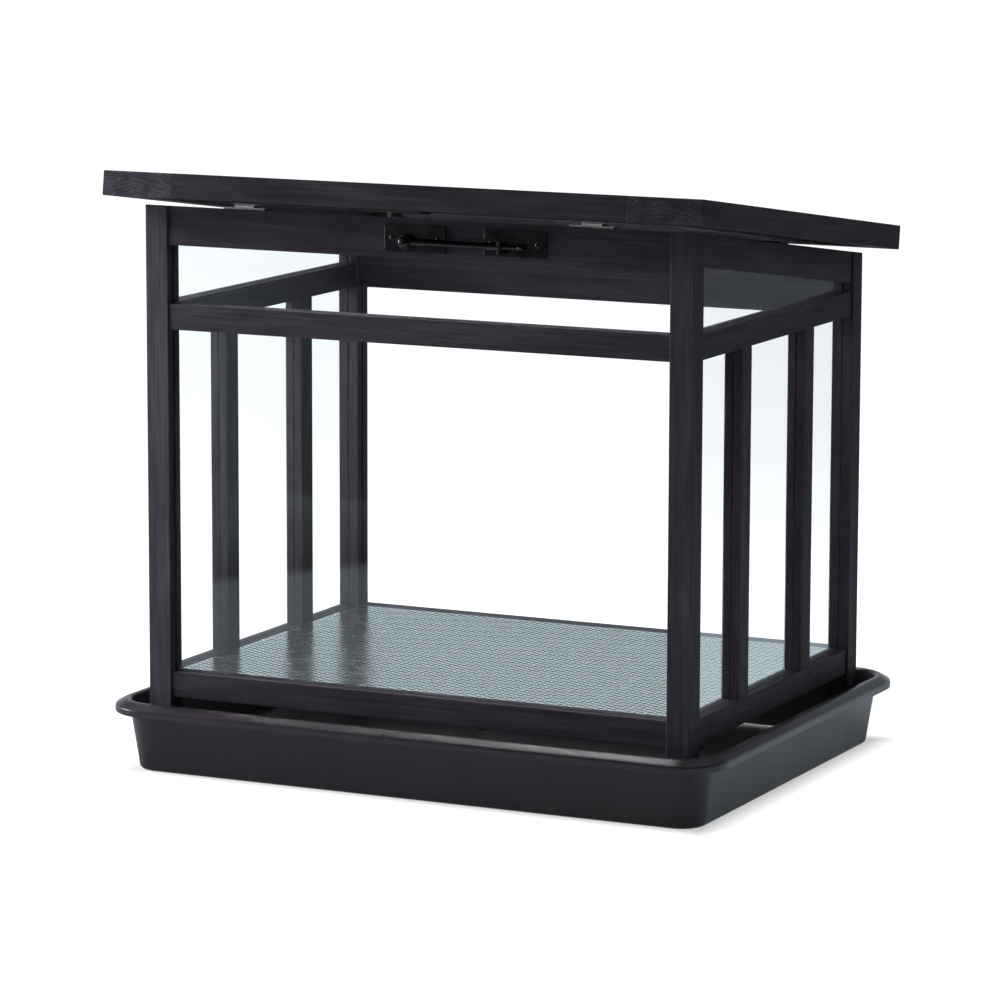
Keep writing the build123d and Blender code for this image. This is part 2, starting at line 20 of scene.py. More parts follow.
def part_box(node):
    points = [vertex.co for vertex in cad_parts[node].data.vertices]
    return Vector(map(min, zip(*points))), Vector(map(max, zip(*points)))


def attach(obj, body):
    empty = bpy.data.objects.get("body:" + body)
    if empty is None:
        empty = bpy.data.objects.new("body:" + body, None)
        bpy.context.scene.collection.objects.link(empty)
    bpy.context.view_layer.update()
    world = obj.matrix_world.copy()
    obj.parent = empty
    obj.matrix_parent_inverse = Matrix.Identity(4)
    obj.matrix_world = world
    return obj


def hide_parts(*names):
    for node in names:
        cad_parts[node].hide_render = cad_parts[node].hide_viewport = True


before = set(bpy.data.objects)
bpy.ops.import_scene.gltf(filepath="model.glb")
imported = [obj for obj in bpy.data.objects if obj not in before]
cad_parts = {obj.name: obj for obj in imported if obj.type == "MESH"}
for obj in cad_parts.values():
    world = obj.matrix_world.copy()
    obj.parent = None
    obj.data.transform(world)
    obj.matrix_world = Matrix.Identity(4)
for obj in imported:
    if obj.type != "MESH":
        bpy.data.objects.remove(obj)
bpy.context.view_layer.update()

log = logging.getLogger("mini_greenhouse")

MM = 0.001
SIDES = ("left", "right")
ENDS = ("front", "rear")
QUARTERS = ((1, 1), (-1, 1), (-1, -1), (1, -1))

# Points closer than this are one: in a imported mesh, and in a mesh made here
PACKED_SEAM = 0.002 * MM
OWN_SEAM = 0.001 * MM

Form = bmesh.types.BMesh
Outputs = bpy.types.bpy_prop_collection
Paint = bpy.types.Material
Piece = bpy.types.Object
Socket = bpy.types.NodeSocket
Tree = bpy.types.NodeTree
RGB = tuple[float, float, float]
Pair = tuple[float, float]

# Where a change starts and ends, and the values at both places
Fade = tuple[float, float, float, float]

# A noise: repeats in a metre, octaves, the finer octaves' strength, and the share of repeats along Z
Pattern = tuple[Any, float, float, float]

# Marks that a mesh carries for its finish: the place in a board's own run, how dark it is painted
# (its stain, and on some boards painted light or shade), its end grain, eased edges and dull faces;
# and the way that a screw faces
BOARD = "board"
STAIN_AND_LIGHT = "stain"
END_GRAIN = "end_grain"
EASED = "eased"
DULL = "dull"
OUTWARD = "outward"


class Grain(Enum):
    """The way that the fibres of a length of timber run."""

    ACROSS = "across"
    DEEP = "deep"
    UPRIGHT = "upright"
    SLOPING = "sloping"


class Body(Enum):
    """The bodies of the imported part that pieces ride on."""

    TRAY = "tray"
    FRAME = "frame"
    LID = "lid"
    PROP = "prop"


@dataclass
class NodeBench:
    """Adds nodes to one shader, geometry or group tree, and joins their sockets."""

    tree: Tree

    def add(self, kind: str, inputs: dict[Any, Any] | None = None, **settings: Any) -> Outputs:
        """Adds a node.

        Args:
            kind: Blender's name for the node.
            inputs: Socket name or place to a value, to a socket that feeds it, or to a list of sockets.
            settings: The node's own properties.

        Returns:
            The new node's outputs.
        """
        node = self.tree.nodes.new(kind)
        for name, value in settings.items():
            setattr(node, name, value)
        for key, value in (inputs or {}).items():
            for feed in value if isinstance(value, list) else [value]:
                if isinstance(feed, Socket):
                    self.tree.links.new(feed, node.inputs[key])
                else:
                    node.inputs[key].default_value = feed
        return node.outputs

    def math(self, operation: str, *values: Any) -> Socket:
        """Adds a Math node for numbers and sockets, and gives its result."""
        return self.add("ShaderNodeMath", dict(enumerate(values)), operation=operation)[0]

    def times(self, first: Any, second: Any) -> Socket:
        """Multiplies two numbers or sockets."""
        return self.math("MULTIPLY", first, second)

    def vector(self, operation: str, first: Any, second: Any = (0.0, 0.0, 0.0)) -> Outputs:
        """Adds a Vector Math node, and gives its outputs."""
        return self.add("ShaderNodeVectorMath", {0: first, 1: second}, operation=operation)

    def fit(self, value: Socket, fade: Fade) -> Socket:
        """Adds a clamped Map Range node, and gives its result."""
        ends = dict(zip(("From Min", "From Max", "To Min", "To Max"), fade))
        return self.add("ShaderNodeMapRange", {"Value": value, **ends})["Result"]

    def noise(self, place: Socket, pattern: Pattern) -> Socket:
        """Adds a Noise Texture.

        Args:
            place: The socket of the coordinates.
            pattern: The noise's numbers.

        Returns:
            The socket of its value.
        """
        inputs = dict(zip(("Scale", "Detail", "Roughness"), pattern))
        inputs["Vector"] = self.vector("MULTIPLY", place, (1.0, 1.0, pattern[3]))["Vector"]
        return self.add("ShaderNodeTexNoise", inputs)["Fac"]


class GroupBench(NodeBench):
    """A node group with named sockets.

    Args:
        name: The group's name.
        kind: Shader or Geometry.
        inputs: Each input's name and its kind of socket.
        outputs: The same for the outputs.
    """

    def __init__(self, name: str, kind: str, inputs: dict[str, str], outputs: dict[str, str]) -> None:
        """Starts the group."""
        super().__init__(bpy.data.node_groups.new(name, f"{kind}NodeTree"))
        for way, sockets in (("INPUT", inputs), ("OUTPUT", outputs)):
            for socket, sort in sockets.items():
                self.tree.interface.new_socket(name=socket, in_out=way, socket_type=f"NodeSocket{sort}")
        self.given = self.add("NodeGroupInput")

    def ends(self, **outputs: Socket) -> Tree:
        """Feeds the group's outputs, and gives the group."""
        self.add("NodeGroupOutput", outputs)
        return self.tree


def handling_group() -> Tree:
    """Builds the faint unevenness that moulding, lacquer and handling leave.

    Returns:
        The group, which gives a soft mask of smears and a fine grit height.
    """
    inputs = {"Place": "Vector", "Smears": "Float", "Grit": "Float"}
    bench = GroupBench("handling", "Shader", inputs, {"Smear": "Float", "Grit": "Float"})
    place, smears, grit = (bench.given[name] for name in inputs)
    clouds = bench.noise(place, (smears, 4.0, 0.55, 1.0))
    smear = bench.fit(clouds, (0.35, 0.7, 0.0, 1.0))
    return bench.ends(Smear=smear, Grit=bench.noise(place, (grit, 2.0, 0.5, 1.0)))


def pale_edge_group() -> Tree:
    """Builds broken patches along eased edges where the colour pales: scuffs, and on the lacquer partly a
    painted glint.

    Returns:
        The group, which turns the mark of an eased edge into a mask of pale patches.
    """
    inputs = {"Place": "Vector", "Edge": "Float", "Patches": "Float", "Amount": "Float"}
    bench = GroupBench("pale_edge_patches", "Shader", inputs, {"Mask": "Float"})
    place, edge, patches, amount = (bench.given[name] for name in inputs)
    clouds = bench.noise(place, (patches, 5.0, 0.65, 1.0))
    broken_edges = bench.times(edge, bench.fit(clouds, (0.38, 0.62, 0.15, 1.0)))
    return bench.ends(Mask=bench.times(broken_edges, amount))


class FinishBench(NodeBench):
    """Adds the nodes that finishes share."""

    def mark(self, name: str, output: str = "Fac") -> Socket:
        """Reads one of the marks that the mesh carries."""
        return self.add("ShaderNodeAttribute", attribute_name=name)[output]

    def effect(self, group: str, **inputs: Any) -> Outputs:
        """Places a shared group on the object's own coordinates, and gives its outputs."""
        inputs["Place"] = self.add("ShaderNodeTexCoord")["Object"]
        return self.add("ShaderNodeGroup", inputs, node_tree=bpy.data.node_groups[group])

    def worn(self, colour: Socket, edge_paint: RGB, patches: float, amount: float) -> Socket:
        """Pales eased edges in so many patches in a metre: scuffs, and on the lacquer partly a painted
        glint.
        """
        wear = self.effect("pale_edge_patches", Edge=self.mark(EASED), Patches=patches, Amount=amount)
        return self.blend(wear["Mask"], colour, edge_paint)

    def ramp(self, value: Socket, *stops: tuple[float, RGB]) -> Socket:
        """Turns a value into a colour.

        Args:
            value: The socket to colour.
            stops: (place, colour) along the ramp, lowest first.

        Returns:
            The colour's socket.
        """
        colour = self.add("ShaderNodeValToRGB", {"Fac": value})["Color"]
        elements = colour.node.color_ramp.elements
        while len(elements) < len(stops):
            elements.new(0.5)
        for element, (at, shade) in zip(elements, stops):
            element.position = at
            element.color = (*shade, 1.0)
        return colour

    def blend(self, share: Socket, under: Socket, over: RGB) -> Socket:
        """Mixes a colour over another by its share."""
        inputs = {"Factor": share, 6: under, 7: (*over, 1.0)}
        return self.add("ShaderNodeMix", inputs, data_type="RGBA")[2]

    def bump(self, height: Socket, strength: float, distance: float) -> Socket:
        """Turns a height into a normal; a height of 1 stands out by the distance, in metres."""
        inputs = {"Height": height, "Strength": strength, "Distance": distance}
        return self.add("ShaderNodeBump", inputs)["Normal"]


def bare_material(name: str) -> Paint:
    """Makes a material with an empty node tree.

    Args:
        name: Its name.

    Returns:
        The material.
    """
    material = bpy.data.materials.new(name)
    material.use_nodes = True
    material.node_tree.nodes.clear()
    return material


class Finish:
    """Base of the finishes, each of which says what feeds the shader."""

    name: str

    def feeds(self, bench: FinishBench) -> dict[str, Any]:
        """What is set on, or linked to, the shader's inputs."""
        raise NotImplementedError

    def build(self) -> Paint:
        """Builds the material.

        Returns:
            The material.
        """
        material = bare_material(self.name)
        bench = FinishBench(material.node_tree)
        shader = bench.add("ShaderNodeBsdfPrincipled", self.feeds(bench))
        bench.add("ShaderNodeOutputMaterial", {"Surface": shader[0]})
        return material


@dataclass(frozen=True)
class StainedTimber(Finish):
    """Near-black stain with a plum cast on softwood, whose rings and fibres follow each board."""

    name: str = "stained_timber"
    dark: RGB = (0.0116, 0.0098, 0.0136)
    middle: RGB = (0.0232, 0.0198, 0.0272)
    pale: RGB = (0.0430, 0.0372, 0.0490)
    tones: tuple[float, ...] = (0.34, 0.52, 0.76)
    worn: RGB = (0.0780, 0.0700, 0.0840)
    wear: Pair = (70.0, 0.4)
    ring_spacing: float = 4.4 * MM
    ring_rise: Fade = (0.25, 0.85, 0.0, 1.0)
    ring_fall: Fade = (0.88, 1.0, 1.0, 0.0)
    ring_patches: Fade = (0.38, 0.6, 0.3, 1.0)
    ring_share: Fade = (0.0, 1.0, 0.05, 0.24)
    ring_height: float = 2.0
    drift: Pattern = (26.0, 3.0, 0.55, 0.07)
    drift_reach: float = 22.0 * MM
    wander: Pattern = (150.0, 2.0, 0.5, 0.02)
    wander_reach: float = 5.0 * MM
    fibres: Pattern = (430.0, 6.0, 0.66, 0.022)
    fibre_share: float = 0.48
    patches: Pattern = (64.0, 4.0, 0.6, 0.16)
    patch_share: float = 0.5
    pores: Pattern = (1250.0, 2.0, 0.5, 0.045)
    pore_edge: Fade = (0.6, 0.72, 0.0, 1.0)
    pore_depth: float = 0.6
    relief: Pair = (0.3, 0.22 * MM)
    roughness: Fade = (0.35, 0.75, 0.66, 0.54)
    sheen: float = 0.13

    def feeds(self, bench: FinishBench) -> dict[str, Any]:
        """Lays the stain over growth rings, fibres and pores.

        Args:
            bench: Where nodes are added.

        Returns:
            What feeds the shader.
        """
        board = bench.mark(BOARD, "Vector")
        section = bench.vector("MULTIPLY", board, (1.0, 1.0, 0.0))["Vector"]
        drift = bench.times(bench.noise(board, self.drift), self.drift_reach)
        wander = bench.times(bench.noise(board, self.wander), self.wander_reach)
        bent = bench.math("ADD", bench.vector("LENGTH", section)["Value"], bench.math("ADD", drift, wander))
        ring = bench.math("FRACT", bench.math("DIVIDE", bent, self.ring_spacing))
        late = bench.times(bench.fit(ring, self.ring_rise), bench.fit(ring, self.ring_fall))
        fibres = bench.noise(board, self.fibres)
        patches = bench.noise(board, self.patches)
        shown = bench.times(late, bench.fit(patches, self.ring_patches))
        rings = bench.times(shown, bench.fit(bench.mark(END_GRAIN), self.ring_share))
        streaks = bench.math("ADD", bench.times(fibres, self.fibre_share), rings)
        tone = bench.math("ADD", streaks, bench.times(patches, self.patch_share))
        stain = bench.ramp(tone, *zip(self.tones, (self.dark, self.middle, self.pale)))
        stained_and_lit = bench.add("ShaderNodeVectorMath", {0: stain, "Scale": bench.mark(STAIN_AND_LIGHT)}, operation="SCALE")
        raised = bench.math("ADD", fibres, bench.times(rings, self.ring_height))
        pores = bench.times(bench.fit(bench.noise(board, self.pores), self.pore_edge), self.pore_depth)
        return {
            "Base Color": bench.worn(stained_and_lit["Vector"], self.worn, *self.wear),
            "Roughness": bench.fit(tone, self.roughness),
            "Normal": bench.bump(bench.math("SUBTRACT", raised, pores), *self.relief),
            "Specular IOR Level": self.sheen,
        }


@dataclass(frozen=True)
class ClearGlass(Finish):
    """Thin float glass with a faint cold tint and the lightest of smears."""

    name: str = "clear_glass"
    tint: RGB = (0.972, 0.996, 0.998)
    ior: float = 1.46
    smears: float = 9.0
    roughness: Fade = (0.0, 1.0, 0.0, 0.005)
    shadow: Fade = (0.0, 1.0, 1.0, 0.42)

    def feeds(self, bench: FinishBench) -> dict[str, Any]:
        """Lays out clear glass that lets most lamp light through.

        Args:
            bench: Where nodes are added.

        Returns:
            What feeds the shader.
        """
        smear = bench.effect("handling", Smears=self.smears)["Smear"]
        is_shadow = bench.add("ShaderNodeLightPath")["Is Shadow Ray"]
        return {
            "Base Color": (*self.tint, 1.0),
            "Transmission Weight": 1.0,
            "IOR": self.ior,
            "Roughness": bench.fit(smear, self.roughness),
            "Alpha": bench.fit(is_shadow, self.shadow),
        }


@dataclass(frozen=True)
class Coat(Finish):
    """Smeared plastic, lacquer or plating, perhaps gritty, pale along its edges or dull on some faces."""

    name: str
    dark: RGB
    pale: RGB
    smears: float
    roughness: Pair
    grit: float = 0.0
    relief: Pair = (0.0, 0.0)
    worn: RGB | None = None
    wear: Pair = (0.0, 0.0)
    dull: RGB | None = None
    dull_roughness: float = 0.0
    sheen: float = 0.5
    metallic: float = 0.0

    def feeds(self, bench: FinishBench) -> dict[str, Any]:
        """Lays out the coat's smears, grit, pale edges and dull faces.

        Args:
            bench: Where nodes are added.

        Returns:
            What feeds the shader.
        """
        marks = bench.effect("handling", Smears=self.smears, Grit=self.grit)
        colour = bench.ramp(marks["Smear"], (0.0, self.dark), (1.0, self.pale))
        if self.worn:
            colour = bench.worn(colour, self.worn, *self.wear)
        if self.dull:
            colour = bench.blend(bench.mark(DULL), colour, self.dull)
        gloss = bench.fit(marks["Smear"], (0.0, 1.0, *self.roughness))
        flat = bench.times(bench.mark(DULL), self.dull_roughness)
        feeds = {
            "Base Color": colour,
            "Roughness": bench.math("MAXIMUM", gloss, flat),
            "Specular IOR Level": self.sheen,
            "Metallic": self.metallic,
        }
        if self.grit:
            feeds["Normal"] = bench.bump(marks["Grit"], *self.relief)
        return feeds


class FinishRack:
    """Every finish of the greenhouse, built once."""

    def __init__(self) -> None:
        """Builds the shared groups and the finishes."""
        handling_group()
        pale_edge_group()
        self.timber = StainedTimber().build()
        self.glass = ClearGlass().build()
        self.plastic = Coat(
            "tray_plastic",
            dark=(0.0118, 0.0084, 0.0118),
            pale=(0.0156, 0.0120, 0.0158),
            smears=16.0,
            roughness=(0.27, 0.35),
            grit=1500.0,
            relief=(0.12, 0.12 * MM),
            sheen=0.42,
        ).build()
        self.lacquer = Coat(
            "black_lacquer",
            dark=(0.0012, 0.0012, 0.0020),
            pale=(0.0030, 0.0030, 0.0044),
            smears=60.0,
            roughness=(0.14, 0.26),
            grit=900.0,
            relief=(0.1, 0.15 * MM),
            # Pale edges: partly scuffed through to steel, partly a painted glint along the plates' edges
            worn=(0.2000, 0.2000, 0.2100),
            wear=(240.0, 0.35),
            dull_roughness=0.7,
        ).build()
        self.bright = Coat(
            "bright_steel",
            dark=(0.90, 0.90, 0.91),
            pale=(0.95, 0.95, 0.95),
            smears=120.0,
            roughness=(0.4, 0.5),
            # Near black on the catches' ears
            dull=(0.06, 0.06, 0.064),
            metallic=0.1,
        ).build()
        self.strike = Coat(
            "strike_steel",
            dark=(0.46, 0.46, 0.47),
            pale=(0.6, 0.6, 0.61),
            smears=120.0,
            roughness=(0.3, 0.42),
            metallic=0.9,
        ).build()
        self.mesh = Coat(
            "mesh_metal",
            dark=(0.70, 0.74, 0.74),
            pale=(0.82, 0.86, 0.86),
            smears=45.0,
            roughness=(0.2, 0.3),
            dull=(0.22, 0.23, 0.24),
            metallic=1.0,
        ).build()


def mesh_object(name: str, form: Form, material: Paint) -> Piece:
    """Makes an object of a bmesh, with its place in its mesh.

    Args:
        name: The piece's name.
        form: The mesh under construction, which is freed.
        material: Its finish.

    Returns:
        The object, linked to the scene.
    """
    mesh = bpy.data.meshes.new(name)
    form.to_mesh(mesh)
    form.free()
    mesh.materials.append(material)
    piece = bpy.data.objects.new(name, mesh)
    bpy.context.scene.collection.objects.link(piece)
    return piece


def mark_faces(piece: Piece, name: str, values: Sequence[float]) -> None:
    """Gives each face of a piece its value of a mark."""
    marks = piece.data.attributes.new(name, "FLOAT", "FACE")
    marks.data.foreach_set("value", values)


def settle(piece: Piece, body: Body, slot: str, *nodes: str) -> None:
    """Rides a finished piece on its body and hides the nodes that it stands for.

    Args:
        piece: The piece.
        body: The body that it moves with.
        slot: Not used.
        nodes: The nodes that it stands for.
    """
    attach(piece, body.value)
    if nodes:
        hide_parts(*nodes)
    log.info("%s: %d faces on %s", piece.name, len(piece.data.polygons), body.value)


def merged(node: str) -> Form:
    """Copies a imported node's mesh with its seams closed.

    Args:
        node: The node's name.

    Returns:
        The copy.
    """
    form = bmesh.new()
    form.from_mesh(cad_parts[node].data)
    bmesh.ops.remove_doubles(form, verts=form.verts, dist=PACKED_SEAM)
    return form


def eased(node: str, material: Paint, ease: float, rounded: bool = False) -> Piece:
    """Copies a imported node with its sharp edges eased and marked.

    Args:
        node: The node's name.
        material: The copy's finish.
        ease: How far the edges are taken back, in metres.
        rounded: Whether the piece has round faces to shade smoothly.

    Returns:
        The copy.
    """
    flat, sharp = math.radians(0.5), math.radians(35.0)
    form = merged(node)
    mark = form.faces.layers.float.new(EASED)
    bmesh.ops.dissolve_limit(form, angle_limit=flat, verts=form.verts, edges=form.edges)
    corners = [edge for edge in form.edges if edge.is_manifold and edge.calc_face_angle(0.0) > sharp]
    rounding = bmesh.ops.bevel(
        form, geom=corners, offset=ease, segments=2, profile=0.5, affect="EDGES", clamp_overlap=True
    )
    for face in rounding["faces"]:
        face[mark] = 1.0
    for face in form.faces:
        face.smooth = rounded
    piece = mesh_object(f"{node}_piece", form, material)
    if rounded:
        piece.data.set_sharp_from_angle(angle=sharp)
    return piece


def skin(form: Form, rings: Sequence[Sequence[bmesh.types.BMVert]]) -> None:
    """Joins each closed ring of points to the next with faces.

    Args:
        form: The mesh under construction.
        rings: The rings, all with the same number of points.
    """
    for ring, following in zip(rings, rings[1:]):
        for i, start in enumerate(ring):
            j = (i + 1) % len(ring)
            form.faces.new((start, ring[j], following[j], following[i]))


@dataclass
class Joinery:
    """Base of the timber assemblies: cuts each board from its own place in a log."""

    rack: FinishRack
    body: Body = Body.FRAME
    ease: float = 0.9 * MM
    stain: float = 1.0
    paler: dict[str, float] = field(default_factory=dict)
    seed: int = 7

    def runs(self) -> dict[str, Grain]:
        """Each timber's node and the way that its grain runs."""
        raise NotImplementedError

    @staticmethod
    def axes(grain: Grain) -> tuple[Vector, Vector, Vector]:
        """The directions across, through and along a board; sloping ones fall with the tops of the posts.

        Args:
            grain: The way that its fibres run.

        Returns:
            The three directions, the fibres' last.
        """
        across, deep, up = Vector((1, 0, 0)), Vector((0, 1, 0)), Vector((0, 0, 1))
        if grain is Grain.ACROSS:
            return deep, up, across
        if grain is Grain.UPRIGHT:
            return across, deep, up
        if grain is Grain.DEEP:
            return across, up, deep
        front_low, front_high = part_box("front_left_post")
        rear_low, rear_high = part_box("rear_left_post")
        slope = math.atan((front_high.z - rear_high.z) / (rear_low.y - front_low.y))
        down_slope = deep * math.cos(slope) - up * math.sin(slope)
        return across, deep * math.sin(slope) + up * math.cos(slope), down_slope

    def mark_board(self, piece: Piece, grain: Grain, lighter_by_stain_and_light: float, chance: random.Random) -> None:
        """Marks a board with its place in the log, its stain with any painted light or shade, and its end
        grain.

        Args:
            piece: The board.
            grain: The way that its fibres run.
            lighter_by_stain_and_light: How much brighter it is painted than its neighbours': partly stain,
                partly painted light.
            chance: Where the board's place in the log comes from.
        """
        low, high = (Vector(corner) for corner in (piece.bound_box[0], piece.bound_box[6]))
        middle = (low + high) / 2
        heart = Vector((chance.uniform(-0.02, 0.02), chance.uniform(0.035, 0.06), chance.uniform(0.0, 3.0)))
        axes = self.axes(grain)
        board = piece.data.attributes.new(BOARD, "FLOAT_VECTOR", "POINT")
        for vertex, spot in zip(piece.data.vertices, board.data):
            spot.vector = heart + Vector([(vertex.co - middle).dot(axis) for axis in axes])
        # Random stain, times any painted light or shade on this board
        shade = self.stain * chance.uniform(0.9, 1.1) * lighter_by_stain_and_light
        faces = piece.data.polygons
        mark_faces(piece, STAIN_AND_LIGHT, [shade] * len(faces))
        mark_faces(piece, END_GRAIN, [float(abs(face.normal.dot(axes[2])) > 0.9) for face in faces])

    def build(self) -> None:
        """Eases every timber's edges and stains it."""
        chance = random.Random(self.seed)
        for node, grain in self.runs().items():
            piece = eased(node, self.rack.timber, self.ease)
            self.mark_board(piece, grain, self.paler.get(node, 1.0), chance)
            settle(piece, self.body, "stained_timber", node)


@dataclass
class Carcass(Joinery):
    """The timber frame: posts, rails, slats and the ledgers of the floor."""

    # The left front post is painted brighter: partly its stain, partly painted light from the left
    paler: dict[str, float] = field(default_factory=lambda: {"front_left_post": 1.55})

    def runs(self) -> dict[str, Grain]:
        """Each timber of the frame and the way that its grain runs.

        Returns:
            Node name to grain.
        """
        rails = ("top_rail", "mid_rail", "bottom_rail", "ledger")
        runs = {f"{end}_{rail}": Grain.ACROSS for end in ENDS for rail in rails}
        for side in SIDES:
            runs |= {f"{side}_{rail}": Grain.DEEP for rail in rails}
            runs[f"{side}_top_rail"] = Grain.SLOPING
            for end in ENDS:
                runs[f"{end}_{side}_post"] = Grain.UPRIGHT
                runs[f"{side}_{end}_slat"] = Grain.UPRIGHT
        return runs


@dataclass
class Lid(Joinery):
    """The lid's two stiles and two rails."""

    body: Body = Body.LID
    # The lid is painted darker than the frame: partly its stain, partly painted shade
    stain: float = 0.74
    # The lid's left stile is painted brighter: partly its stain, partly painted light
    paler: dict[str, float] = field(default_factory=lambda: {"lid_left_stile": 1.2})
    seed: int = 11

    def runs(self) -> dict[str, Grain]:
        """Each timber of the lid and the way that its grain runs."""
        stiles = {f"lid_{side}_stile": Grain.SLOPING for side in SIDES}
        return {**stiles, **{f"lid_{end}_rail": Grain.ACROSS for end in ENDS}}


@dataclass
class Glazing:
    """All the panes, which keep their solids."""

    rack: FinishRack

    def build(self) -> None:
        """Gives each pane its glass."""
        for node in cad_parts:
            if node.endswith("_pane"):
                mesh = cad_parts[node].data
                mesh.materials.clear()
                mesh.materials.append(self.rack.glass)
                log.info("%s keeps its solid", node)


class FormBench(GroupBench):
    """A geometry group that takes a form and a material, with the nodes that such groups share.

    Args:
        name: The group's name.
        sizes: The names of its sizes.
        counts: The names of its whole numbers.
    """

    def __init__(self, name: str, sizes: Sequence[str], counts: Sequence[str]) -> None:
        """Starts the group."""
        numbers = {**dict.fromkeys(sizes, "Float"), **dict.fromkeys(counts, "Int")}
        inputs = {"Geometry": "Geometry", **numbers, "material": "Material"}
        super().__init__(name, "Geometry", inputs, {"Geometry": "Geometry"})

    def point(self, **axes: Any) -> Socket:
        """Joins numbers named X, Y and Z into a vector."""
        return self.add("ShaderNodeCombineXYZ", axes)[0]

    def block(self, **sides: Any) -> Socket:
        """Adds a box with sides named X, Y and Z."""
        return self.add("GeometryNodeMeshCube", {"Size": self.point(**sides)})["Mesh"]

    def moved(self, form: Socket, **way: Any) -> Socket:
        """Moves a form along X, Y and Z."""
        inputs = {"Geometry": form, "Translation": self.point(**way)}
        return self.add("GeometryNodeTransform", inputs)[0]

    def joined(self, forms: list[Socket]) -> Socket:
        """Joins forms into one."""
        return self.add("GeometryNodeJoinGeometry", {0: forms})[0]

    def sown(self, points: Socket, form: Socket, **more: Any) -> Socket:
        """Sets a form on every point."""
        inputs = {"Points": points, "Instance": form, **more}
        return self.add("GeometryNodeInstanceOnPoints", inputs)[0]

    def finished(self, form: Socket) -> Tree:
        """Makes a form solid, gives it the material and ends the group.

        Args:
            form: The socket of the form.

        Returns:
            The group.
        """
        solid = self.add("GeometryNodeRealizeInstances", {"Geometry": form})[0]
        dressing = {"Geometry": solid, "Material": self.given["material"]}
        return self.ends(Geometry=self.add("GeometryNodeSetMaterial", dressing)[0])


def grow(piece: Piece, tree: Tree, values: dict[str, Any]) -> None:
    """Runs a geometry group on a piece, and turns the result into the piece's plain mesh.

    Args:
        piece: The object, whose own material the group gets.
        tree: The group.
        values: Input name to value.
    """
    modifier = piece.modifiers.new(tree.name, "NODES")
    modifier.node_group = tree
    values = {**values, "material": piece.data.materials[0]}
    for item in tree.interface.items_tree:
        if item.item_type == "SOCKET" and item.in_out == "INPUT" and item.name in values:
            modifier[item.identifier] = values[item.name]
    piece.update_tag()
    bpy.context.view_layer.update()
    evaluated = piece.evaluated_get(bpy.context.evaluated_depsgraph_get())
    plain = bpy.data.meshes.new_from_object(evaluated)
    piece.modifiers.remove(modifier)
    old = piece.data
    piece.data = plain
    bpy.data.meshes.remove(old)


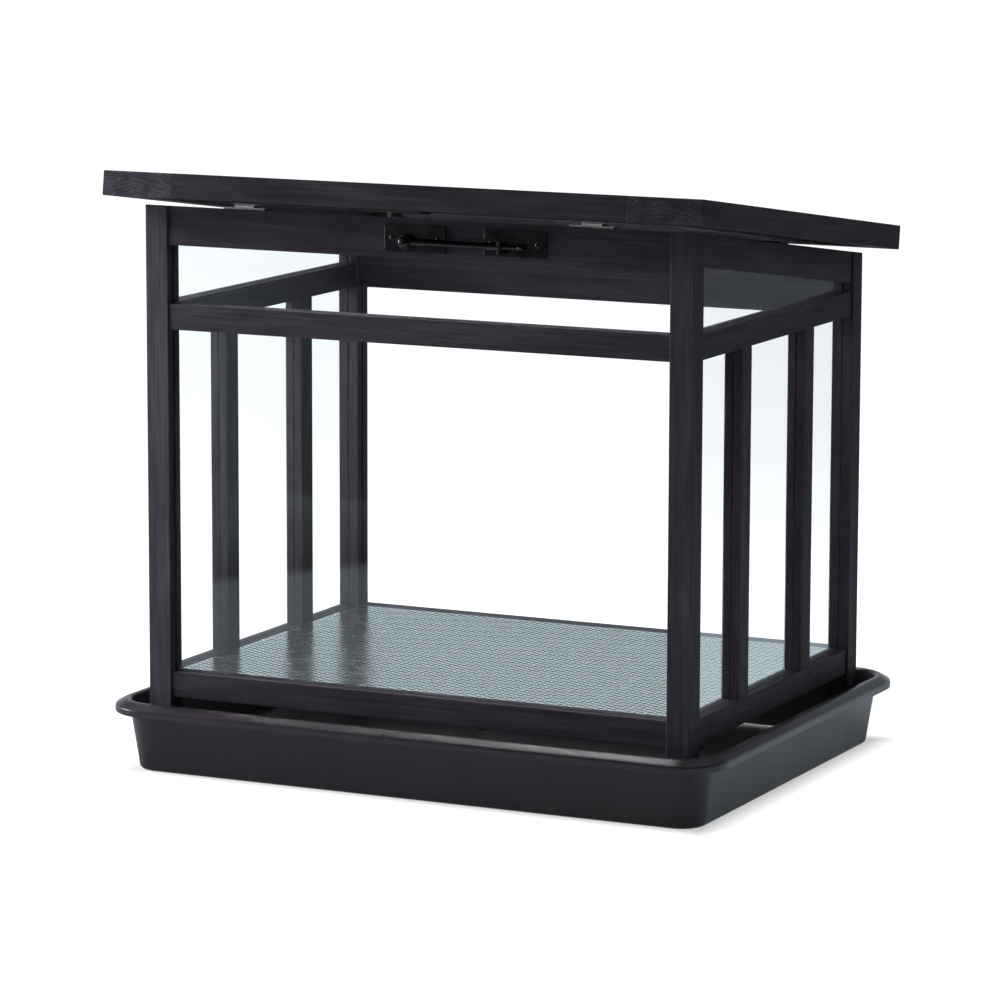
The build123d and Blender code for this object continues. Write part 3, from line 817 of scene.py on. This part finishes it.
@dataclass
class MeshFloor:
    """Flattened expanded-metal sheet with diamond holes that lies on the ledgers.

    The cells are fitted to the sheet as it is built.
    """

    rack: FinishRack
    cell_width: float = 14.7 * MM
    cell_depth: float = 8.13 * MM
    strand: float = 2.3 * MM
    thickness: float = 1.2 * MM
    hem: float = 1.5 * MM
    level: float = 0.0
    columns: int = 1
    rows: int = 1

    @staticmethod
    def tree() -> Tree:
        """Builds the geometry nodes that repeat one cell over the sheet and hem its edges.

        Returns:
            The group, with the numbers of cells and their sizes as inputs.
        """
        sizes = ("cell_width", "cell_depth", "hem", "thickness", "level")
        counts = ("columns", "rows")
        bench = FormBench("expanded_sheet", sizes, counts)
        cell_width, cell_depth, hem, thickness, level, columns, rows = (
            bench.given[name] for name in (*sizes, *counts)
        )
        grid = {
            "Size X": bench.times(bench.math("SUBTRACT", columns, 1.0), cell_width),
            "Size Y": bench.times(bench.math("SUBTRACT", rows, 1.0), cell_depth),
            "Vertices X": columns,
            "Vertices Y": rows,
        }
        points = bench.add("GeometryNodeMeshGrid", grid)["Mesh"]
        forms = [bench.sown(points, bench.given["Geometry"])]
        width = bench.times(columns, cell_width)
        depth = bench.times(rows, cell_depth)
        full_width = bench.math("MULTIPLY_ADD", hem, 2.0, width)
        middle = bench.math("MULTIPLY_ADD", thickness, -0.5, level)
        strips = (({"X": full_width, "Y": hem}, "Y", depth), ({"X": hem, "Y": depth}, "X", width))
        for sides, axis, span in strips:
            strip = bench.block(**sides, Z=thickness)
            reach = bench.times(bench.math("ADD", span, hem), 0.5)
            for sign in (-1.0, 1.0):
                forms.append(bench.moved(strip, **{axis: bench.times(reach, sign)}, Z=middle))
        return bench.finished(bench.joined(forms))

    def quadrant(self) -> list[list[Pair]]:
        """A quarter of a cell, between the middle hole and the hole at one corner.

        Returns:
            The flat faces as points.
        """
        half_x, half_y = self.cell_width / 2, self.cell_depth / 2
        spacing = 2 * half_x * half_y / math.hypot(half_x, half_y)
        share = 1.0 - self.strand / spacing
        wide, deep = half_x * share, half_y * share
        right, top = (half_x, half_y - deep), (half_x - wide, half_y)
        node_right = [(wide, 0.0), (half_x, 0.0), right]
        node_top = [(0.0, deep), top, (0.0, half_y)]
        return [node_right, [(wide, 0.0), right, top, (0.0, deep)], node_top]

    def spread(self, form: Form, level: float, facing: int) -> None:
        """Adds the flat faces of a whole cell.

        Args:
            form: The mesh under construction.
            level: The faces' height.
            facing: 1 for up, -1 for down.
        """
        for sx, sy in QUARTERS:
            for face in self.quadrant():
                ordered = face if sx * sy * facing > 0 else reversed(face)
                form.faces.new([form.verts.new((sx * x, sy * y, level)) for x, y in ordered])
        bmesh.ops.remove_doubles(form, verts=form.verts, dist=OWN_SEAM)

    def on_border(self, edge: bmesh.types.BMEdge) -> bool:
        """Tells whether an edge of a cell lies against the next cell."""
        x, y, _ = (edge.verts[0].co + edge.verts[1].co) / 2
        return max(abs(x) - self.cell_width / 2, abs(y) - self.cell_depth / 2) > -0.01 * MM

    def cell(self) -> Form:
        """One cell of the sheet: a whole hole in the middle and quarter holes at the corners.

        Returns:
            The cell's mesh, with both faces and the holes' dull walls.
        """
        form = bmesh.new()
        self.spread(form, self.level, 1)
        rims = [edge for edge in form.edges if edge.is_boundary and not self.on_border(edge)]
        walls = bmesh.ops.extrude_edge_only(form, edges=rims)["geom"]
        lowered = [part for part in walls if isinstance(part, bmesh.types.BMVert)]
        bmesh.ops.translate(form, verts=lowered, vec=(0.0, 0.0, -self.thickness))
        self.spread(form, self.level - self.thickness, -1)
        bmesh.ops.recalc_face_normals(form, faces=form.faces)
        cut = form.faces.layers.float.new(DULL)
        for face in form.faces:
            face[cut] = float(abs(face.normal.z) < 0.5)
        return form

    def build(self) -> None:
        """Makes the sheet and lays it on the ledgers."""
        low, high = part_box("mesh_floor")
        width = high.x - low.x - 2 * self.hem
        depth = high.y - low.y - 2 * self.hem
        self.columns, self.rows = round(width / self.cell_width), round(depth / self.cell_depth)
        self.cell_width, self.cell_depth, self.level = width / self.columns, depth / self.rows, high.z
        piece = mesh_object("mesh_floor_sheet", self.cell(), self.rack.mesh)
        grow(piece, self.tree(), vars(self))
        settle(piece, Body.FRAME, "mesh_metal", "mesh_floor")


@dataclass
class DripTray:
    """The moulded tray: leaning walls and a drooping rim, with every edge rounded."""

    rack: FinishRack
    height: float = 73.0 * MM
    draft: float = 11.5 * MM
    wall: float = 2.5 * MM
    floor: float = 3.0 * MM
    corner: float = 26.0 * MM
    rim_reach: float = 16.2 * MM
    rim_land: float = 6.5 * MM
    rim_drop: float = 5.5 * MM
    rim_thickness: float = 2.5 * MM
    lip: float = 7.3 * MM
    foot_round: float = 5.0 * MM
    brim_round: float = 3.0 * MM
    shoulder_round: float = 8.0 * MM
    arris_round: float = 3.4 * MM
    small_round: float = 1.0 * MM
    lip_round: float = 0.8 * MM
    corner_steps: int = 12
    round_steps: int = 5

    def corners(self) -> list[tuple[float, float, float]]:
        """The section's corners, from the inside floor over the rim to the underside.

        Returns:
            (distance outside the base's outline, height, radius) of each corner.
        """
        inner = self.draft - self.wall
        outer = inner + self.rim_reach
        arris = self.height - self.rim_drop
        lip = arris - self.lip
        under = outer - self.rim_thickness
        land_end = inner + self.rim_land
        rim_under = self.height - self.rim_thickness
        return [
            (self.draft * self.floor / self.height - self.wall, self.floor, self.foot_round),
            (inner, self.height, self.brim_round),
            (land_end, self.height, self.shoulder_round),
            (outer, arris, self.arris_round),
            (outer, lip, self.small_round),
            (under, lip, self.lip_round),
            (under, arris - self.rim_thickness, self.small_round),
            (land_end, rim_under, self.brim_round),
            (self.draft * rim_under / self.height, rim_under, self.small_round),
            (0.0, 0.0, self.foot_round),
        ]

    def section(self) -> list[Vector]:
        """The section with its corners rounded.

        Returns:
            (distance outside the base's outline, height) along the section.
        """
        corners = self.corners()
        inset = 40.0 * MM
        ends = [(-inset, self.floor, 0.0), *corners, (-inset, 0.0, 0.0)]
        line = []
        for before, (x, z, radius), after in zip(ends, corners, ends[2:]):
            at = Vector((x, z))
            back = (Vector(before[:2]) - at).normalized()
            ahead = (Vector(after[:2]) - at).normalized()
            half = back.angle(ahead) / 2
            reach = radius / math.tan(half)
            centre = at + (back + ahead).normalized() * (radius / math.sin(half))
            start, end = at + back * reach - centre, at + ahead * reach - centre
            sweep = math.copysign(math.pi - 2 * half, start.x * end.y - start.y * end.x)
            for step in range(self.round_steps + 1):
                line.append(centre + Matrix.Rotation(sweep * step / self.round_steps, 2) @ start)
        return line

    def build(self) -> None:
        """Sweeps the section round the base's outline, which has rounded corners."""
        low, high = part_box("drip_tray")
        inside = self.draft - self.wall + self.rim_reach + self.corner
        half_x = (high.x - low.x) / 2 - inside
        half_y = (high.y - low.y) / 2 - inside
        form = bmesh.new()
        rings = []
        for grown, z in self.section():
            ring = []
            for quarter, (sx, sy) in enumerate(QUARTERS):
                for step in range(self.corner_steps + 1):
                    angle = math.pi / 2 * (quarter + step / self.corner_steps)
                    way = (self.corner + grown) * Vector((math.cos(angle), math.sin(angle), 0.0))
                    ring.append(form.verts.new(way + Vector((sx * half_x, sy * half_y, z))))
            rings.append(ring)
        skin(form, rings)
        form.faces.new(rings[0])
        form.faces.new(list(reversed(rings[-1])))
        bmesh.ops.recalc_face_normals(form, faces=form.faces)
        for face in form.faces:
            face.smooth = len(face.verts) == 4
        piece = mesh_object("drip_tray_moulding", form, self.rack.plastic)
        settle(piece, Body.TRAY, "tray_plastic", "drip_tray")


@dataclass
class ScrewSet:
    """Raised cross-head screws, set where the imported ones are."""

    head_radius: float = 2.9 * MM
    head_rise: float = 0.8 * MM
    shank_radius: float = 1.5 * MM
    length: float = 13.0 * MM
    slot_length: float = 3.6 * MM
    slot_width: float = 0.7 * MM
    seed: int = 3

    @staticmethod
    def tree() -> Tree:
        """Builds the geometry nodes that set a screw on every point.

        Returns:
            The group, with the screw's sizes as inputs.
        """
        sizes = ("head_radius", "head_rise", "shank_radius", "length", "slot_length", "slot_width")
        bench = FormBench("screw_set", sizes, ("seed",))
        radius, rise, shank_radius, length, slot_length, slot_width = (bench.given[size] for size in sizes)
        ball = bench.add("GeometryNodeMeshUVSphere", {"Segments": 16, "Rings": 8, "Radius": 1.0})[0]
        squash = {"Geometry": ball, "Scale": bench.point(X=radius, Y=radius, Z=rise)}
        head = bench.add("GeometryNodeTransform", squash)[0]
        slots = []
        for along, over in (("X", "Y"), ("Y", "X")):
            slot = bench.block(**{along: slot_length, over: slot_width}, Z=rise)
            slots.append(bench.moved(slot, Z=rise))
        cut = {"Mesh 1": head, "Mesh 2": slots}
        slotted = bench.add("GeometryNodeMeshBoolean", cut, operation="DIFFERENCE", solver="EXACT")
        rod = {"Vertices": 12, "Radius": shank_radius, "Depth": length}
        shank = bench.add("GeometryNodeMeshCylinder", rod)["Mesh"]
        lowered = bench.moved(shank, Z=bench.times(length, -0.5))
        screw = bench.joined([slotted["Mesh"], lowered])
        drawn = {"Seed": bench.given["seed"]}
        chance = bench.add("FunctionNodeRandomValue", drawn, data_type="FLOAT")[1]
        turn = bench.point(Z=bench.times(chance, math.pi / 2))
        outward = bench.add("GeometryNodeInputNamedAttribute", {"Name": OUTWARD}, data_type="FLOAT_VECTOR")
        ways = {
            "Rotation": bench.add("FunctionNodeEulerToRotation", {0: turn})[0],
            "Vector": outward["Attribute"],
        }
        facing = bench.add("FunctionNodeAlignRotationToVector", ways, axis="Z")[0]
        return bench.finished(bench.sown(bench.given["Geometry"], screw, Rotation=facing))

    @staticmethod
    def packed_places(node: str) -> list[tuple[Vector, Vector]]:
        """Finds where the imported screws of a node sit.

        Args:
            node: The node's name.

        Returns:
            The middle of each head's top, and the way that it faces.
        """
        form = merged(node)
        waiting = set(form.verts)
        places = []
        while waiting:
            island = [waiting.pop()]
            for vertex in island:
                linked = {edge.other_vert(vertex) for edge in vertex.link_edges} & waiting
                island += linked
                waiting -= linked
            points = numpy.array([tuple(vertex.co) for vertex in island])
            middle = points.mean(axis=0)
            axis = numpy.linalg.eigh(numpy.cov((points - middle).T))[1][:, -1]
            along = (points - middle) @ axis
            off_axis = numpy.linalg.norm(points - middle - numpy.outer(along, axis), axis=1)
            if along[off_axis.argmax()] < 0.0:
                axis, along = -axis, -along
            places.append((Vector(middle + axis * along.max()), Vector(axis)))
        form.free()
        return places

    def build(self, name: str, places: Sequence[tuple[Vector, Vector]], material: Paint) -> Piece:
        """Makes one body's screws.

        Args:
            name: The piece's name.
            places: The middle of each head's top, and the way that it faces.
            material: The screws' finish.

        Returns:
            The piece.
        """
        form = bmesh.new()
        for at, _ in places:
            form.verts.new(at)
        piece = mesh_object(name, form, material)
        outward = piece.data.attributes.new(OUTWARD, "FLOAT_VECTOR", "POINT")
        for spot, (_, facing) in zip(outward.data, places):
            spot.vector = facing
        grow(piece, self.tree(), vars(self))
        return piece


@dataclass
class Hardware:
    """Prop rod and plates, keeper, hinges, catches and all their screws."""

    rack: FinishRack
    plate_ease: float = 0.7 * MM
    fine_ease: float = 0.3 * MM
    pivot_head: float = 2.0 * MM
    pivot_rim: float = 0.9 * MM
    dome_rise: float = 2.3 * MM
    dome_steps: int = 6
    pivot_faces: int = 32
    catch_core: float = 19.0 * MM

    def plates(self) -> None:
        """Eases and lacquers the plates, the rod and the hinges."""
        for node in ("prop_pivot_plate", "prop_rest_plate"):
            settle(eased(node, self.rack.lacquer, self.plate_ease), Body.FRAME, "black_hardware", node)
        keeper = eased("lid_keeper", self.rack.lacquer, self.fine_ease)
        mark_faces(keeper, DULL, [1.0] * len(keeper.data.polygons))
        settle(keeper, Body.LID, "black_hardware", "lid_keeper")
        fine = {"prop_rod": Body.PROP, "hinge_pins": Body.FRAME}
        for side in SIDES:
            fine[f"{side}_hinge_frame_leaf"] = Body.FRAME
            fine[f"{side}_hinge_lid_leaf"] = Body.LID
        for node, body in fine.items():
            settle(eased(node, self.rack.lacquer, self.fine_ease, True), body, "black_hardware", node)

    def pivot(self) -> None:
        """Turns the pivot pin with a domed head."""
        low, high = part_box("prop_pivot_pin")
        radius = (high.x - low.x) / 2
        shank = radius / 2
        seat = high.y - low.y - self.pivot_head
        line = [(0.0, 0.0), (shank, 0.0), (shank, seat), (radius, seat)]
        for step in range(self.dome_steps + 1):
            angle = math.pi / 2 * step / self.dome_steps
            rise = seat + self.pivot_rim + self.dome_rise * math.sin(angle)
            line.append((radius * math.cos(angle), rise))
        turns = [2 * math.pi * step / self.pivot_faces for step in range(self.pivot_faces)]
        form = bmesh.new()
        rings = []
        for out, along in line:
            rings.append([form.verts.new((out * math.cos(a), out * math.sin(a), along)) for a in turns])
        skin(form, rings)
        bmesh.ops.remove_doubles(form, verts=form.verts, dist=OWN_SEAM)
        place = Matrix.Translation(((low.x + high.x) / 2, high.y, (low.z + high.z) / 2))
        bmesh.ops.transform(form, matrix=place @ Matrix.Rotation(math.pi / 2, 4, "X"), verts=form.verts)
        bmesh.ops.recalc_face_normals(form, faces=form.faces)
        for face in form.faces:
            face.smooth = True
        piece = mesh_object("prop_pivot_pin_domed", form, self.rack.lacquer)
        piece.data.set_sharp_from_angle(angle=math.radians(40.0))
        settle(piece, Body.FRAME, "black_hardware", "prop_pivot_pin")

    def catches(self) -> None:
        """Eases the catches and their strike plates; a catch's ears are coloured near black, its core
        bright.
        """
        core = self.catch_core / 2
        for side in SIDES:
            node = f"{side}_magnet_catch"
            piece = eased(node, self.rack.bright, self.fine_ease)
            low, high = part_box(node)
            middle = (low.x + high.x) / 2
            mark_faces(piece, DULL, [float(abs(f.center.x - middle) > core) for f in piece.data.polygons])
            settle(piece, Body.FRAME, "bright_steel", node)
            strike = f"{side}_strike_plate"
            settle(eased(strike, self.rack.strike, self.fine_ease), Body.LID, "bright_steel", strike)

    @staticmethod
    def in_catch(at: Vector) -> bool:
        """Tells whether a screw's head lies on one of the catches."""
        boxes = [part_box(f"{side}_magnet_catch") for side in SIDES]
        return any(all(low[i] - MM < at[i] < high[i] + MM for i in range(3)) for low, high in boxes)

    def screws(self) -> None:
        """Sets the screws of the frame and of the lid; those of the catches are bright."""
        kit = ScrewSet()
        for body in (Body.FRAME, Body.LID):
            node = f"{body.value}_hardware_screws"
            dark = [place for place in kit.packed_places(node) if not self.in_catch(place[0])]
            settle(kit.build(f"{node}_set", dark, self.rack.lacquer), body, "black_hardware", node)
        bright = [place for place in kit.packed_places("frame_hardware_screws") if self.in_catch(place[0])]
        settle(kit.build("catch_screws_set", bright, self.rack.bright), Body.FRAME, "bright_steel")

    def build(self) -> None:
        """Makes all the hardware."""
        for make in (self.plates, self.pivot, self.catches, self.screws):
            make()


@dataclass(frozen=True)
class Lamp:
    """A soft square lamp: its place and side in metres, its power in watts, and whether gloss shows it."""

    name: str
    place: tuple[float, float, float]
    side: float
    power: float
    mirrored: bool = True

    def hang(self, target: Vector) -> None:
        """Hangs the lamp and points it.

        Args:
            target: What it points at.
        """
        data = bpy.data.lights.new(self.name, "AREA")
        data.shape = "SQUARE"
        data.size = self.side
        data.energy = self.power
        lamp = bpy.data.objects.new(self.name, data)
        lamp.location = self.place
        lamp.rotation_euler = (target - lamp.location).to_track_quat("-Z", "Y").to_euler()
        lamp.visible_glossy = self.mirrored
        bpy.context.scene.collection.objects.link(lamp)


@dataclass
class Studio:
    """White floor, soft light and the camera."""

    target: Vector = field(default_factory=lambda: Vector((-9.77, 0.0, 266.6)) * MM)
    azimuth: float = 25.58
    elevation: float = 9.28
    roll: float = 0.17
    distance: float = 4.8715
    lens: float = 170.24
    floor_front: float = 1.8
    floor_side: float = 8.0
    floor_back: float = 40.0
    base_x: float = 313.5 * MM
    base_y: float = 236.5 * MM
    # The floor's brightness as it is seen, how much light it gives back, and the even light around
    # The glow dims within 26 mm of the tray's foot: a painted shadow where the tray stands, over the real
    # shadow of the grey part
    shadow: Fade = (0.0, 26.0 * MM, 0.52, 1.0)
    pane_make_up: Fade = (0.0, 1.0, 1.0, 1.15)
    seen_grey: float = 0.24
    bounce_grey: float = 0.6
    even_light: RGB = (0.96, 0.97, 1.0)
    even_strength: float = 0.3
    # The floor's brightness in gloss and metal, by its place
    floor_colour: RGB = (0.8, 0.92, 1.0)
    slant: RGB = (0.836, 0.548, 0.0)
    slant_inside: Fade = (-1.31, -1.25, 0.0, 1.0)
    slant_outside: Fade = (-1.31, -1.25, 1.0, 0.0)
    near_sheen: Fade = (1.5, 1.75, 0.76, 0.1)
    front_haze: Fade = (-0.95, -0.7, 0.4, 0.04)
    right_side: Fade = (0.3, 0.45, 0.0, 1.0)
    right_sheen: Fade = (1.3, 1.6, 1.0, 0.14)
    # In gloss the floor dims next to the tray's foot: a painted shadow where the tray stands
    contact: Fade = (0.0, 0.1, 0.4, 1.0)
    left_sheen: Fade = (-2.2, -1.2, 0.8, 0.0)
    # The room's brightness in gloss and metal, by direction
    room_colour: RGB = (0.84, 0.94, 1.0)
    behind: Fade = (-0.25, 0.35, 0.05, 1.0)
    left_haze: Fade = (-0.49, -0.452, 0.48, 0.02)
    low: Fade = (0.2, 0.42, 1.0, 0.2)
    above: Fade = (0.6, 0.9, 0.0, 0.6)
    lamps: tuple[Lamp, ...] = (
        Lamp("overhead", place=(-0.66, 0.5, 2.4), side=0.6, power=40.0),
        Lamp("left", place=(-1.2, -0.8, 1.3), side=0.7, power=44.0, mirrored=False),
        Lamp("side", place=(-2.1, -0.7, 0.6), side=0.6, power=26.0),
    )

    def camera(self) -> None:
        """Sets up the camera at the photograph's angle."""
        data = bpy.data.cameras.new("camera")
        data.lens = self.lens
        data.sensor_width = 36.0
        data.clip_end = 100.0
        camera = bpy.data.objects.new("camera", data)
        bpy.context.scene.collection.objects.link(camera)
        turn, rise = math.radians(self.azimuth), math.radians(self.elevation)
        back = Vector((math.sin(turn) * math.cos(rise), -math.cos(turn) * math.cos(rise), math.sin(rise)))
        look = (-back).to_track_quat("-Z", "Y").to_matrix().to_4x4()
        stand = Matrix.Translation(self.target + back * self.distance)
        camera.matrix_world = stand @ look @ Matrix.Rotation(math.radians(self.roll), 4, "Z")
        bpy.context.scene.camera = camera

    @staticmethod
    def pick(bench: NodeBench, plain: Socket, mirrored: Socket, seen: Socket) -> Socket:
        """Picks a shader by the way that light goes.

        Args:
            bench: Where nodes are added.
            plain: What lights surfaces.
            mirrored: What gloss and metal show.
            seen: What is seen straight or through panes.

        Returns:
            The socket of the picked shader.
        """
        path = bench.add("ShaderNodeLightPath")
        straight = bench.math("MAXIMUM", path["Is Camera Ray"], path["Is Transmission Ray"])
        bounces = bench.math("ADD", path["Diffuse Depth"], path["Glossy Depth"])
        is_seen = bench.times(straight, bench.math("LESS_THAN", bounces, 0.5))
        through = bench.times(path["Is Transmission Ray"], path["Glossy Depth"])
        is_mirrored = bench.math("GREATER_THAN", bench.math("ADD", path["Is Glossy Ray"], through), 0.5)
        lit = bench.add("ShaderNodeMixShader", {0: is_mirrored, 1: plain, 2: mirrored})[0]
        return bench.add("ShaderNodeMixShader", {0: is_seen, 1: lit, 2: seen})[0]

    def floor_sheen(self, bench: NodeBench, place: Socket, side: Socket, beside: Socket) -> Socket:
        """Lays out how bright the floor looks in gloss and metal, with a painted shadow where the tray
        stands.

        Args:
            bench: Where nodes are added.
            place: The socket of a place on the floor.
            side: The socket of its X.
            beside: The socket of its distance from the tray's foot.

        Returns:
            The socket of the brightness.
        """
        reach = bench.vector("LENGTH", place)["Value"]
        slant = bench.vector("DOT_PRODUCT", place, self.slant)["Value"]
        lit = bench.times(bench.fit(slant, self.slant_inside), bench.fit(reach, self.near_sheen))
        hazy = bench.times(bench.fit(slant, self.slant_outside), bench.fit(side, self.front_haze))
        right = bench.times(bench.fit(side, self.right_side), bench.fit(reach, self.right_sheen))
        near = bench.math("MAXIMUM", bench.math("MAXIMUM", lit, hazy), right)
        shaded = bench.times(near, bench.fit(beside, self.contact))
        return bench.math("MAXIMUM", shaded, bench.fit(side, self.left_sheen))

    def floor(self) -> None:
        """Lays the floor, white straight and through panes; it keeps its shadow and adds a painted one by
        the tray.
        """
        front, back = -self.floor_front, self.floor_back
        form = bmesh.new()
        corners = ((-1, front), (1, front), (1, back), (-1, back))
        form.faces.new([form.verts.new((side * self.floor_side, y, 0.0)) for side, y in corners])
        material = bare_material("studio_floor")
        bench = NodeBench(material.node_tree)
        place = bench.add("ShaderNodeTexCoord")["Object"]
        parts = bench.add("ShaderNodeSeparateXYZ", {0: place})
        past_x = bench.math("SUBTRACT", bench.math("ABSOLUTE", parts["X"]), self.base_x)
        past_y = bench.math("SUBTRACT", bench.math("ABSOLUTE", parts["Y"]), self.base_y)
        beside = bench.math("MAXIMUM", past_x, past_y)
        through = bench.add("ShaderNodeLightPath")["Is Transmission Ray"]
        white = bench.times(bench.fit(beside, self.shadow), bench.fit(through, self.pane_make_up))
        glow = bench.add("ShaderNodeEmission", {"Strength": white})[0]
        shaded, plain = (
            bench.add("ShaderNodeBsdfDiffuse", {"Color": (grey, grey, grey, 1.0)})[0]
            for grey in (self.seen_grey, self.bounce_grey)
        )
        seen = bench.add("ShaderNodeAddShader", {0: shaded, 1: glow})[0]
        sheen = self.floor_sheen(bench, place, parts["X"], beside)
        cool = {"Color": (*self.floor_colour, 1.0), "Strength": sheen}
        mirrored = bench.add("ShaderNodeEmission", cool)[0]
        bench.add("ShaderNodeOutputMaterial", {"Surface": self.pick(bench, plain, mirrored, seen)})
        mesh_object("studio_floor", form, material)

    def world(self) -> None:
        """Lights the studio evenly, shows white behind the object, and a dim room in front of it."""
        world = bpy.data.worlds.new("studio")
        bpy.context.scene.world = world
        world.use_nodes = True
        world.node_tree.nodes.clear()
        bench = NodeBench(world.node_tree)
        way = bench.add("ShaderNodeTexCoord")["Generated"]
        x, y, z = bench.add("ShaderNodeSeparateXYZ", {0: way})
        level = bench.math("MAXIMUM", bench.fit(y, self.behind), bench.fit(x, self.left_haze))
        around = bench.times(level, bench.fit(z, self.low))
        room = bench.math("MAXIMUM", around, bench.fit(z, self.above))
        lights = ((self.even_light, self.even_strength), (self.room_colour, room), ((1.0, 1.0, 1.0), 1.0))
        shaders = [
            bench.add("ShaderNodeBackground", {"Color": (*colour, 1.0), "Strength": strength})[0]
            for colour, strength in lights
        ]
        bench.add("ShaderNodeOutputWorld", {"Surface": self.pick(bench, *shaders)})

    def build(self) -> None:
        """Sets up the whole studio."""
        self.camera()
        self.floor()
        self.world()
        for lamp in self.lamps:
            lamp.hang(self.target)
        bpy.context.scene.view_settings.view_transform = "Standard"


def main() -> None:
    """Builds the greenhouse's pieces and its studio."""
    logging.basicConfig(level=logging.INFO, format="%(name)s: %(message)s")
    rack = FinishRack()
    for assembly in (Carcass, Lid, Glazing, MeshFloor, DripTray, Hardware):
        assembly(rack).build()
    Studio().build()


if __name__ == "__main__":
    main()
